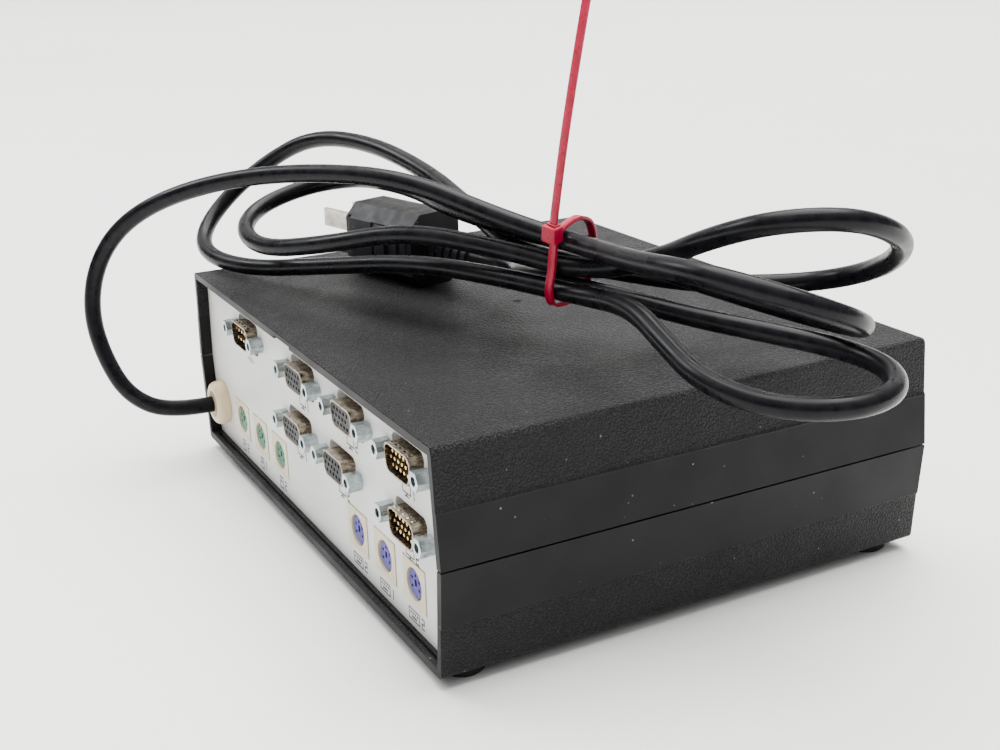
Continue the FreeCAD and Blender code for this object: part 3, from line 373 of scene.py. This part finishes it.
def lamp_lens():
    """Green tinted lens."""
    look = Look("lamp_lens", (0.05, 0.42, 0.10), rough=0.18, spec=0.6)
    look.shader.inputs["Transmission Weight"].default_value = 0.35
    look.colour(look.ramp(look.noise(500, 2), [(0.3, (0.04, 0.36, 0.08)), (0.7, (0.07, 0.48, 0.13))]))
    return look.mat


MATERIALS = {
    "case_plastic": case_plastic(),
    "panel_grey": panel_grey(),
    "foot_rubber": soft_black("foot_rubber", (0.006, 0.006, 0.006), 0.7, 500, 0.06),
    "screw_steel": plated("screw_steel", (0.30, 0.30, 0.31), (0.56, 0.56, 0.56), 0.3),
    "zinc_steel": plated("zinc_steel", (0.26, 0.31, 0.33), (0.52, 0.58, 0.60), 0.3),
    "gold_contact": plated("gold_contact", (0.40, 0.26, 0.09), (0.80, 0.58, 0.27), 0.25),
    "circuit_board": circuit_board(),
    "black_component": soft_black("black_component", (0.009, 0.009, 0.010), 0.5, 1200, 0.02),
    "capacitor_can": plated("capacitor_can", (0.30, 0.31, 0.36), (0.52, 0.53, 0.56), 0.35),
    "heat_sink_aluminium": plated("heat_sink_aluminium", (0.36, 0.36, 0.38), (0.58, 0.58, 0.6), 0.35),
    "core_steel": plated("core_steel", (0.10, 0.09, 0.08), (0.24, 0.22, 0.20), 0.5),
    "coil_tape": moulded("coil_tape", (0.60, 0.45, 0.10), (0.75, 0.60, 0.18), 0.4, 600),
    "fuse_glass": glassy(),
    "lead_insulation": moulded("lead_insulation", (0.09, 0.09, 0.10), (0.15, 0.15, 0.16)),
    "lamp_lens": lamp_lens(),
    "rocker_black": soft_black("rocker_black", (0.007, 0.007, 0.008), 0.3, 1500, 0.02),
    "button_grey": moulded("button_grey", (0.24, 0.24, 0.25), (0.30, 0.30, 0.31), 0.5, 1600),
    "bush_ivory": bush_ivory(),
    "cord_black": cord_black(),
    "plug_black": soft_black("plug_black", (0.005, 0.005, 0.0065), 0.42, 900, 0.05),
    "blade_nickel": plated("blade_nickel", (0.45, 0.41, 0.33), (0.72, 0.68, 0.60), 0.28),
    "tie_red": tie_red(),
    "shell_nickel": plated("shell_nickel", (0.14, 0.10, 0.065), (0.50, 0.43, 0.34), 0.24, 0.7),
    "insert_black": soft_black("insert_black", (0.0022, 0.0022, 0.003), 0.45, 1500, 0.02),
    "mouse_green": moulded("mouse_green", (0.001, 0.13, 0.065), (0.003, 0.19, 0.10), 0.38),
    "keyboard_violet": moulded("keyboard_violet", (0.030, 0.020, 0.22), (0.055, 0.040, 0.31), 0.38),
    "socket_cream": moulded("socket_cream", (0.66, 0.57, 0.40), (0.76, 0.69, 0.52), 0.45),
    "label_ink": moulded("label_ink", (0.012, 0.012, 0.014), (0.025, 0.025, 0.028), 0.5),
}


# ---------------------------------------------------------------- pieces

def piece(name, mesh, slot, body="case", smooth=True):
    """Object from a finished mesh that rides on a body and takes one slot's material."""
    obj = bpy.data.objects.new(name, mesh)
    bpy.context.scene.collection.objects.link(obj)
    if isinstance(mesh, bpy.types.Mesh):
        mesh.polygons.foreach_set("use_smooth", [smooth] * len(mesh.polygons))
    obj.data.materials.append(MATERIALS[slot])
    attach(obj, body)
    return obj


def mesh_of(name, verts, faces):
    """Mesh with outward normals."""
    mesh = bpy.data.meshes.new(name)
    mesh.from_pydata(verts, [], faces)
    work = bmesh.new()
    work.from_mesh(mesh)
    bmesh.ops.recalc_face_normals(work, faces=work.faces)
    work.to_mesh(mesh)
    work.free()
    return mesh


def bevel(obj, width_mm, segments=2):
    """Rounded edges on an object."""
    made = obj.modifiers.new("bevel", "BEVEL")
    made.width = width_mm * MM
    made.segments = segments
    made.limit_method = "ANGLE"
    made.angle_limit = math.radians(35)


# Edge radii of the CAD pieces that stay, in millimetres by slot.
EDGE_ROUNDING = {"case_plastic": 0.25, "zinc_steel": 0.12, "shell_nickel": 0.14, "panel_grey": 0.12,
                 "socket_cream": 0.18, "button_grey": 0.5, "rocker_black": 0.3, "blade_nickel": 0.3,
                 "screw_steel": 0.15, "insert_black": 0.06}


def dress_nodes():
    """Materials and softened edges on the CAD pieces that stay."""
    for entry in frame["record"]["subparts"]:
        node = frame["nodes"][entry["node"]]
        slot = entry["material_slot"]
        node.data.materials.clear()
        node.data.materials.append(MATERIALS[slot])
        if slot in EDGE_ROUNDING:
            bevel(node, EDGE_ROUNDING[slot])


CORD_RADIUS = 2.9

# Corners of the cord's course from the entry bush to the plug, in millimetres.
CORD_ROUTE = [
    (89.5, 80, 19.5), (89.5, 96, 19.5), (91.7, 109, 27.5), (97.5, 114.5, 41), (102, 116.5, 56.5),
    (102.5, 113, 72.5), (97, 105, 86.5), (85, 93, 97), (64, 76, 105.5), (36, 57, 110.5), (2, 38, 111.5),
    (-33, 23, 103.3), (-61, 13, 99.8), (-91, 17, 102.4), (-117, 18, 105.8), (-136, 10, 104),
    (-143, -6, 97.5), (-136, -22, 90), (-119, -31, 84.5), (-96, -28, 84), (-76, -13, 89.5),
    (-59, 7, 98), (-31, 17, 99), (2, 23, 100.5), (30, 20, 100.5), (56, 20, 99.5), (79, 23, 97.5),
    (91, 37, 94.5), (89.5, 55.5, 90), (76, 67.5, 85.5), (54, 68, 83), (26, 57, 88.5), (-3, 40, 96.5),
    (-33, 23, 94.5), (-61, 13, 92.5), (-83, 4, 99.2), (-106, 4, 109.8), (-126, -1, 117.2),
    (-135, -18, 117.2), (-130, -38, 109), (-112, -53, 97), (-89, -59, 86.5), (-71, -50, 81.5),
    (-64, -24, 84),
    (-57, 5, 91.5), (-31, 17, 92.2), (4, 14, 98), (42, 11, 104), (80, 16, 109.5), (109, 27, 109),
    (127, 40, 98), (132, 55, 85.5), (124, 68, 75), (104, 72.5, 70.8), (77, 65, 70.8), (45, 50, 76.5),
    (5, 34, 84),
    (-33, 23, 86), (-61, 13, 85.5), (-88, 15, 89.5), (-108, 18, 85), (-127, 21, 81.5),
    (-145, 15.4, 79.5), (-154.2, -0.4, 78.5), (-151, -18.3, 78), (-137, -30, 78), (-119, -30, 78.3),
    (-101, -22, 79), (-81, -10, 80.5),
    (-59, 7, 85.4), (-31, 17, 85.4), (-4.521, 3.376, 79.6), (14.818, 8.476, 79.6),
]


def add_cord():
    """Mains cord as one smooth round spline along its route."""
    curve = bpy.data.curves.new("cord", "CURVE")
    curve.dimensions = "3D"
    curve.resolution_u = 16
    curve.bevel_depth = CORD_RADIUS * MM
    curve.bevel_resolution = 8
    curve.use_fill_caps = True
    spline = curve.splines.new("NURBS")
    spline.points.add(len(CORD_ROUTE) - 1)
    for point, place in zip(spline.points, CORD_ROUTE):
        point.co = (*mm(*place), 1)
    spline.order_u = 3
    spline.use_endpoint_u = True
    cord = piece("cord", curve, "cord_black")
    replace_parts(cord, "mains_cord")
    return cord


def sweep(name, path, width, profile, closed=False):
    """Strip along a path: profile points are (across, out), and width is the across direction."""
    count, side = len(path), len(profile)
    verts = []
    for i, point in enumerate(path):
        ahead = path[(i + 1) % count] if closed or i + 1 < count else point
        behind = path[i - 1] if closed or i > 0 else point
        tangent = (ahead - behind).normalized()
        across = (width - tangent * width.dot(tangent)).normalized()
        out = across.cross(tangent).normalized()
        verts += [point + across * a + out * b for a, b in profile]
    faces = []
    for i in range(count if closed else count - 1):
        for j in range(side):
            a, b = i * side + j, i * side + (j + 1) % side
            c, d = ((i + 1) % count) * side + j, ((i + 1) % count) * side + (j + 1) % side
            faces.append((a, b, d, c))
    if not closed:
        faces += [tuple(range(side)), tuple(range((count - 1) * side, count * side))]
    return mesh_of(name, verts, faces)


def smooth_path(corners, steps=10, closed=False):
    """Points along a rounded line through corners."""
    count = len(corners)
    spans = range(count) if closed else range(count - 1)
    path = []
    for i in spans:
        if closed:
            p0, p1, p2, p3 = (corners[(i + k) % count] for k in (-1, 0, 1, 2))
        else:
            p0, p1 = corners[max(i - 1, 0)], corners[i]
            p2, p3 = corners[i + 1], corners[min(i + 2, count - 1)]
        for k in range(steps):
            t = k / steps
            path.append(0.5 * (2 * p1 + (p2 - p0) * t + (2 * p0 - 5 * p1 + 4 * p2 - p3) * t * t
                               + (3 * p1 - p0 - 3 * p2 + p3) * t * t * t))
    if not closed:
        path.append(corners[-1])
    return path


def lathe(name, profile, steps=64):
    """Closed turned mesh about +Y from (radius, y) points, first and last on the axis."""
    verts = [Vector((0, profile[0][1], 0)), Vector((0, profile[-1][1], 0))]
    ring = profile[1:-1]
    for radius, y in ring:
        for k in range(steps):
            a = 2 * math.pi * k / steps
            verts.append(Vector((radius * math.cos(a), y, radius * math.sin(a))))
    faces = []
    for k in range(steps):
        n = (k + 1) % steps
        faces.append((0, 2 + k, 2 + n))
        last = 2 + (len(ring) - 1) * steps
        faces.append((1, last + n, last + k))
        for i in range(len(ring) - 1):
            a, b = 2 + i * steps, 2 + (i + 1) * steps
            faces.append((a + k, b + k, b + n, a + n))
    return mesh_of(name, verts, faces)


def block(name, centre, size, turn=None):
    """Box mesh about a centre, in metres."""
    half = Vector(size) / 2
    verts = []
    for sx in (-1, 1):
        for sy in (-1, 1):
            for sz in (-1, 1):
                v = Vector((sx * half.x, sy * half.y, sz * half.z))
                verts.append(centre + (turn @ v if turn else v))
    faces = [(0, 1, 3, 2), (4, 6, 7, 5), (0, 4, 5, 1), (2, 3, 7, 6), (0, 2, 6, 4), (1, 5, 7, 3)]
    return mesh_of(name, verts, faces)


TIE_SPOT = mm(-46, 15, 0)
TIE_NEAR = Vector((-0.330, 0.944, 0))
TIE_ALONG = Vector((0.944, 0.330, 0))
TIE_SLOPE = 0.176


def tie_point(near, height, along=0.0):
    """Point in the leaning plane of the tie: towards the camera side, up, and along the bundle."""
    shift = along - 6.8 - TIE_SLOPE * (height - 93)
    return TIE_SPOT + TIE_NEAR * (near * MM) + TIE_ALONG * (shift * MM) + Vector((0, 0, height * MM))


def rail_profile(width, thick):
    """Section of the strap: a shallow channel between two raised rails."""
    w, t = width / 2 * MM, thick / 2 * MM
    lip = w - 0.28 * MM
    soft = 0.1 * MM
    low = t * 0.7
    return [(-w, -low), (-w + soft, -t), (w - soft, -t), (w, -low), (w, low), (w - soft, t), (lip, t),
            (lip - soft, low), (-lip + soft, low), (-lip, t), (-w + soft, t), (-w, low)]


def add_tie():
    """Cable tie: tight in front and below, loose behind, square head and a long bare tail."""
    loop = [(7.9, 100.5), (7.4, 93.0), (7.3, 86.0), (5.0, 82.0), (-0.5, 81.1), (-5.8, 82.0), (-9.2, 86.0),
            (-10.3, 91.5), (-9.7, 98.0), (-6.9, 103.8), (-1.8, 106.2), (3.6, 105.3), (7.2, 103.0)]
    band_path = smooth_path([tie_point(n, h) for n, h in loop], closed=True)
    band = piece("tie_band", sweep("tie_band", band_path, TIE_ALONG, rail_profile(2.5, 1.1), True), "tie_red")
    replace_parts(band, "cable_tie")
    pitch = Matrix.Rotation(math.radians(-8), 3, TIE_ALONG)
    turn = pitch @ Matrix.Rotation(math.radians(-10), 3, TIE_NEAR) @ basis()
    head = piece("tie_head", block("tie_head", tie_point(9.1, 103.6), mm(4.8, 4.2, 4.9), turn), "tie_red",
                 smooth=False)
    bevel(head, 0.5, 3)
    tail = [(9.0, 104.0, 0.0), (9.2, 112.0, 0.0), (9.3, 130.0, -0.2), (9.2, 150.0, -0.8), (9.0, 168.0, -1.6),
            (8.8, 181.0, -2.2)]
    tail_path = smooth_path([tie_point(*corner) for corner in tail], 12)
    strip = piece("tie_tail", sweep("tie_tail", tail_path, TIE_ALONG, rail_profile(2.4, 1.0)), "tie_red")
    lip = piece("tie_lip", block("tie_lip", tie_point(9.1, 106.2), mm(3.4, 2.2, 0.6), turn), "tie_red",
                smooth=False)
    bevel(lip, 0.2)
    return [band, head, strip, lip]


def basis():
    """Rotation whose X runs along the bundle and whose Y points to the camera side."""
    return Matrix((TIE_ALONG, TIE_NEAR, Vector((0, 0, 1)))).transposed()


def add_bush():
    """Rounded entry bush with a recess round the cord."""
    profile = [(0, -8.6), (5.4, -8.6), (6.7, -4.1), (6.7, -2.5), (6.2, -2.5), (6.2, 0), (7.9, 0), (8.0, 0.4),
               (8.0, 2.2), (7.8, 3.2), (7.2, 4.1), (6.3, 4.6), (5.4, 4.62), (4.7, 4.3), (4.3, 3.6),
               (4.2, 2.4), (3.0, 2.2), (0, 2.2)]
    mesh = lathe("entry_bush", [(r * MM, y * MM) for r, y in profile])
    mesh.transform(Matrix.Translation(mm(89.5, PANEL_Y, 19.5)))
    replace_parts(piece("entry_bush", mesh, "bush_ivory"), "cord_bushing")


PLUG_FACE = mm(68.0, 22.5, 79.6)
PLUG_TURN = Matrix.Rotation(math.atan2(0.255, 0.967), 3, "Z")


# Grip pads from the blades back: middle, length, height and rise, in millimetres.
PLUG_PADS = [(-8.2, 12.6, 16.0, 0.5), (-19.0, 5.4, 15.0, 0.9),
             (-26.2, 3.6, 14.0, 0.6), (-31.2, 2.6, 12.5, 0.35)]


def plug_point(along, across, up):
    """Point in the plug's frame, in millimetres from the middle of its blade face."""
    return PLUG_FACE + PLUG_TURN @ mm(along, across, up)


def add_plug():
    """Stepped grip pads and collar that finish the plug's moulded body."""
    made = []
    for side, tag in ((1, "near"), (-1, "far")):
        for n, (mid, long, tall, rise) in enumerate(PLUG_PADS, start=1):
            name = "plug_pad_%s_%d" % (tag, n)
            size = mm(long, 2 * rise + 0.4, tall)
            pad = piece(name, block(name, plug_point(mid, side * 10.5, 0), size, PLUG_TURN), "plug_black",
                        smooth=False)
            bevel(pad, 0.35, 3)
            made.append(pad)
    plate = block("plug_collar", plug_point(-1.6, 0, 0), mm(1.0, 21.9, 18.0), PLUG_TURN)
    collar = piece("plug_collar", plate, "plug_black", smooth=False)
    bevel(collar, 0.4, 3)
    made.append(collar)
    bevel(frame["nodes"]["plug_body"], 0.6, 3)
    bevel(frame["nodes"]["plug_relief"], 0.25, 2)
    return made


# ---------------------------------------------------------------- printed marks

KEYBOARD_SOCKETS = (-37.28, -56.63, -75.98)
MOUSE_SOCKETS = (67.85, 48.5, 29.15)
VIDEO_PORTS = ((0.8, 54.8), (-37.5, 54.8), (6.3, 36.5), (-28.45, 36.5), (-75.9, 54.8), (-75.9, 36.5))


def ink(name, outlines):
    """Flat printed mark on the connector panel from (x, z) outlines in millimetres."""
    verts, faces = [], []
    for outline in outlines:
        start = len(verts)
        verts += [mm(x, PANEL_Y + 0.03, z) for x, z in outline]
        faces.append(tuple(range(start, start + len(outline))))
    mesh = bpy.data.meshes.new(name)
    mesh.from_pydata(verts, [], faces)
    return piece(name, mesh, "label_ink", smooth=False)


def bar(x, z, wide, tall):
    """Upright rectangle about a centre."""
    return [(x - wide / 2, z - tall / 2), (x + wide / 2, z - tall / 2),
            (x + wide / 2, z + tall / 2), (x - wide / 2, z + tall / 2)]


def hollow(x, z, wide, tall, line=0.42):
    """Four strokes of a rectangle."""
    return [bar(x, z + tall / 2, wide, line), bar(x, z - tall / 2, wide, line),
            bar(x - wide / 2, z, line, tall + line), bar(x + wide / 2, z, line, tall + line)]


def keyboard_mark(x, z):
    """Outline with a row of keys and a long bar."""
    keys = [bar(x - 2.1 + 1.4 * i, z + 0.55, 0.8, 0.7) for i in range(4)]
    return hollow(x, z, 6.6, 3.2) + keys + [bar(x, z - 0.65, 3.4, 0.6)]


def mouse_mark(x, z):
    """Pointer body with a divided top."""
    return hollow(x, z, 2.8, 3.8) + [bar(x, z + 0.3, 2.8, 0.4), bar(x, z + 1.1, 0.4, 1.4)]


def screen_mark(x, z):
    """Screen on a short stand."""
    return hollow(x, z + 0.5, 5.0, 3.0) + [bar(x, z - 1.4, 0.8, 0.8), bar(x, z - 1.95, 2.8, 0.45)]


def stroke_digit(x, z, digit):
    """Plain numeral one or two."""
    if digit == 1:
        return [bar(x, z, 0.55, 3.2)]
    return [bar(x, z + 1.45, 1.9, 0.45), bar(x - 0.7, z + 0.75, 0.5, 1.4), bar(x, z, 1.9, 0.45),
            bar(x + 0.7, z - 0.75, 0.5, 1.4), bar(x, z - 1.45, 1.9, 0.45)]


def add_marks():
    """Generic marks where the panel's captions stand."""
    for i, x in enumerate(KEYBOARD_SOCKETS):
        marks = keyboard_mark(x + 1.4, 9.4) + stroke_digit(x - 4.2, 9.4, 2 - i % 2)
        ink("keyboard_mark_%d" % (i + 1), marks)
    for i, x in enumerate(MOUSE_SOCKETS):
        marks = mouse_mark(x + 1.2, 9.4) + stroke_digit(x - 2.8, 9.4, 2 - i % 2)
        ink("mouse_mark_%d" % (i + 1), marks)
    for i, (x, z) in enumerate(VIDEO_PORTS):
        marks = screen_mark(x + 2.0, z - 8.6) + stroke_digit(x - 2.6, z - 8.6, 1 + i % 2)
        ink("screen_mark_%d" % (i + 1), marks)
    ink("serial_mark", [bar(52.5 + 1.1 * i, 46.0, 0.35, 2.4 - 0.5 * abs(i)) for i in range(-3, 4)])


def add_dimples():
    """Pressed grounding bumps along the male shells: a tip and three rings of points for each."""
    steps = 12
    rings = [(0.35, 0.26), (0.6, 0.1), (0.75, -0.02)]
    for tag, x, z in (("a", -75.9, 54.8), ("b", -75.9, 36.5), ("c", 52.5, 54.8)):
        verts, faces = [], []
        for face in (1, -1):
            for i in range(-2, 3):
                centre = mm(x + i * 2.8, 77.0, z + face * 4.15)
                start = len(verts)
                verts.append(centre + Vector((0, 0, face * 0.32 * MM)))
                for radius, lift in rings:
                    for k in range(steps):
                        a = 2 * math.pi * k / steps
                        offset = mm(radius * math.cos(a), 1.5 * radius * math.sin(a), face * lift)
                        verts.append(centre + offset)
                for k in range(steps):
                    n = (k + 1) % steps
                    faces.append((start, start + 1 + k, start + 1 + n))
                    for ring in range(len(rings) - 1):
                        b = start + 1 + steps * ring
                        faces.append((b + k, b + steps + k, b + steps + n, b + n))
        piece("shell_bumps_" + tag, mesh_of("shell_bumps_" + tag, verts, faces), "shell_nickel")


# ---------------------------------------------------------------- assembly

add_camera()
add_light()
add_floor()
dress_nodes()
cord = add_cord()
tie = add_tie()
add_bush()
plug = add_plug()
add_marks()
add_dimples()
